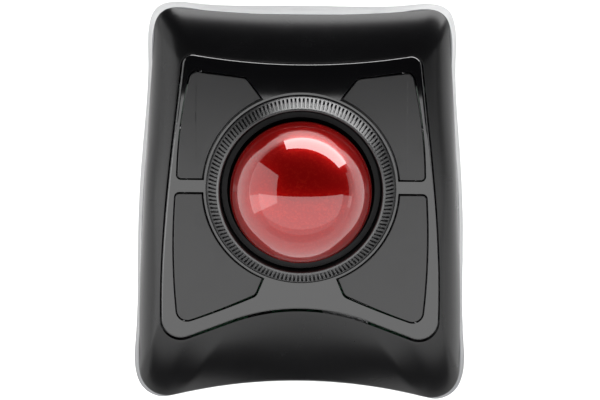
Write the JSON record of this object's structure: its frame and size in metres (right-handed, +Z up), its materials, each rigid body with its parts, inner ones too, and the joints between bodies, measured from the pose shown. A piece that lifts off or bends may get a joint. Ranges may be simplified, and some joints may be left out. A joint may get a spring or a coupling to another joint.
{
  "type": "trackball",
  "caption": "Desktop trackball: a large red finger ball in a ridged scroll ring, four press buttons, a sloping gloss bezel and a silver battery base.",
  "frame": {"origin": "middle of the footprint on the desk, under the rubber feet", "axes": "+X to the user's right, +Y away from the user, +Z up; the deck slopes down towards -Y"},
  "size_m": [0.1308, 0.1569, 0.065],
  "materials": {
    "silver_case": "satin silver-grey paint",
    "black_shell": "satin gloss black",
    "gloss_bezel": "high gloss black",
    "button_plastic": "satin dark grey",
    "ring_plastic": "semi-gloss black",
    "red_ball": "polished deep red with a fine sparkle",
    "black_inner": "fine matt black",
    "bearing": "polished synthetic ruby",
    "clear_lens": "clear moulded",
    "board": "green solder mask",
    "chip": "matt moulded black",
    "metal": "bright plated",
    "ribbon": "flat cable",
    "lead": "soft insulation",
    "cell": "plain wrapped cell",
    "knob": "light grey moulded",
    "foot_rubber": "matt rubber"
  },
  "bodies": {
    "housing": {"ball_cup": "black_inner", "ball_sensor": "chip", "bezel_plate": "gloss_bezel", "bezel_screws": "metal", "board_screws": "metal", "case_screws": "metal", "controller_chip": "chip", "cup_screws": "metal", "front_battery": "cell", "front_left_foot": "foot_rubber", "front_right_foot": "foot_rubber", "left_battery_contact": "metal", "left_battery_lead": "lead", "left_ribbon_cable": "ribbon", "left_switch_board": "board", "lower_case": "silver_case", "lower_left_hinge_pin": "metal", "lower_left_switch": "chip", "lower_right_hinge_pin": "metal", "lower_right_switch": "chip", "main_board": "board", "mode_switch": "chip", "power_switch": "chip", "radio_module": "metal", "rear_battery": "cell", "rear_left_foot": "foot_rubber", "rear_right_foot": "foot_rubber", "right_battery_contact": "metal", "right_battery_lead": "lead", "right_ribbon_cable": "ribbon", "right_switch_board": "board", "scroll_sensor": "chip", "sensor_board": "board", "sensor_cable": "ribbon", "sensor_lens": "clear_lens", "status_light": "clear_lens", "support_bearing_1": "bearing", "support_bearing_2": "bearing", "support_bearing_3": "bearing", "upper_left_hinge_pin": "metal", "upper_left_switch": "chip", "upper_right_hinge_pin": "metal", "upper_right_switch": "chip", "upper_shell": "black_shell"},
    "scroll_ring": {"scroll_ring": "ring_plastic", "encoder_ring": "black_inner"},
    "trackball": {"trackball": "red_ball"},
    "battery_cover": {"battery_cover": "black_inner"},
    "receiver": {"receiver_head": "black_inner", "receiver_plug": "metal"},
    "power_knob": {"power_knob": "knob"},
    "mode_knob": {"mode_knob": "knob"},
    "upper_left_button": {"upper_left_button": "button_plastic"},
    "upper_left_plunger": {"upper_left_plunger": "knob"},
    "upper_right_button": {"upper_right_button": "button_plastic"},
    "upper_right_plunger": {"upper_right_plunger": "knob"},
    "lower_left_button": {"lower_left_button": "button_plastic"},
    "lower_left_plunger": {"lower_left_plunger": "knob"},
    "lower_right_button": {"lower_right_button": "button_plastic"},
    "lower_right_plunger": {"lower_right_plunger": "knob"}
  },
  "joints": [
    {"name": "scroll_ring_spin", "type": "hinge", "parent": "housing", "child": "scroll_ring", "pos_m": [0, 0.0042, 0.0311], "axis": [0, -0.1564, 0.9877], "continuous": true},
    {"name": "trackball_roll", "type": "hinge", "parent": "housing", "child": "trackball", "pos_m": [0, 0.00319, 0.0375], "axis": [1, 0, 0], "continuous": true},
    {"name": "upper_left_press", "type": "hinge", "parent": "housing", "child": "upper_left_button", "pos_m": [-0.0446, 0.00935, 0.02604], "axis": [0.1255, 0.9799, 0.1552], "range_deg": [0, 1.8], "stiffness_Nm_per_rad": 0.6, "springref_deg": -1.72},
    {"name": "upper_left_plunger_travel", "type": "slide", "parent": "housing", "child": "upper_left_plunger", "axis": [0, 0.1564, -0.9877], "range_m": [0, 0.0003263]},
    {"name": "upper_right_press", "type": "hinge", "parent": "housing", "child": "upper_right_button", "pos_m": [0.0446, 0.00935, 0.02604], "axis": [0.1255, -0.9799, -0.1552], "range_deg": [0, 1.8], "stiffness_Nm_per_rad": 0.6, "springref_deg": -1.72},
    {"name": "upper_right_plunger_travel", "type": "slide", "parent": "housing", "child": "upper_right_plunger", "axis": [0, 0.1564, -0.9877], "range_m": [0, 0.0003263]},
    {"name": "lower_left_press", "type": "hinge", "parent": "housing", "child": "lower_left_button", "pos_m": [-0.0454, 0.00284, 0.02501], "axis": [0, 0.9877, 0.1564], "range_deg": [0, 1.8], "stiffness_Nm_per_rad": 0.6, "springref_deg": -1.72},
    {"name": "lower_left_plunger_travel", "type": "slide", "parent": "housing", "child": "lower_left_plunger", "axis": [0, 0.1564, -0.9877], "range_m": [0, 0.0004367]},
    {"name": "lower_right_press", "type": "hinge", "parent": "housing", "child": "lower_right_button", "pos_m": [0.0454, 0.00284, 0.02501], "axis": [0, -0.9877, -0.1564], "range_deg": [0, 1.8], "stiffness_Nm_per_rad": 0.6, "springref_deg": -1.72},
    {"name": "lower_right_plunger_travel", "type": "slide", "parent": "housing", "child": "lower_right_plunger", "axis": [0, 0.1564, -0.9877], "range_m": [0, 0.0004367]},
    {"name": "battery_cover_off", "type": "slide", "parent": "housing", "child": "battery_cover", "axis": [0, 0, -1], "range_m": [0, 0.02]},
    {"name": "receiver_out", "type": "slide", "parent": "housing", "child": "receiver", "axis": [0, 0, -1], "range_m": [0, 0.012]},
    {"name": "power_slide", "type": "slide", "parent": "housing", "child": "power_knob", "axis": [1, 0, 0], "range_m": [0, 0.003]},
    {"name": "mode_slide", "type": "slide", "parent": "housing", "child": "mode_knob", "axis": [1, 0, 0], "range_m": [0, 0.003]}
  ],
  "couplings": [
    {"joint": "upper_left_plunger_travel", "follows": "upper_left_press", "m_per_rad": 0.010385},
    {"joint": "upper_right_plunger_travel", "follows": "upper_right_press", "m_per_rad": 0.010385},
    {"joint": "lower_left_plunger_travel", "follows": "lower_left_press", "m_per_rad": 0.0139},
    {"joint": "lower_right_plunger_travel", "follows": "lower_right_press", "m_per_rad": 0.0139}
  ]
}
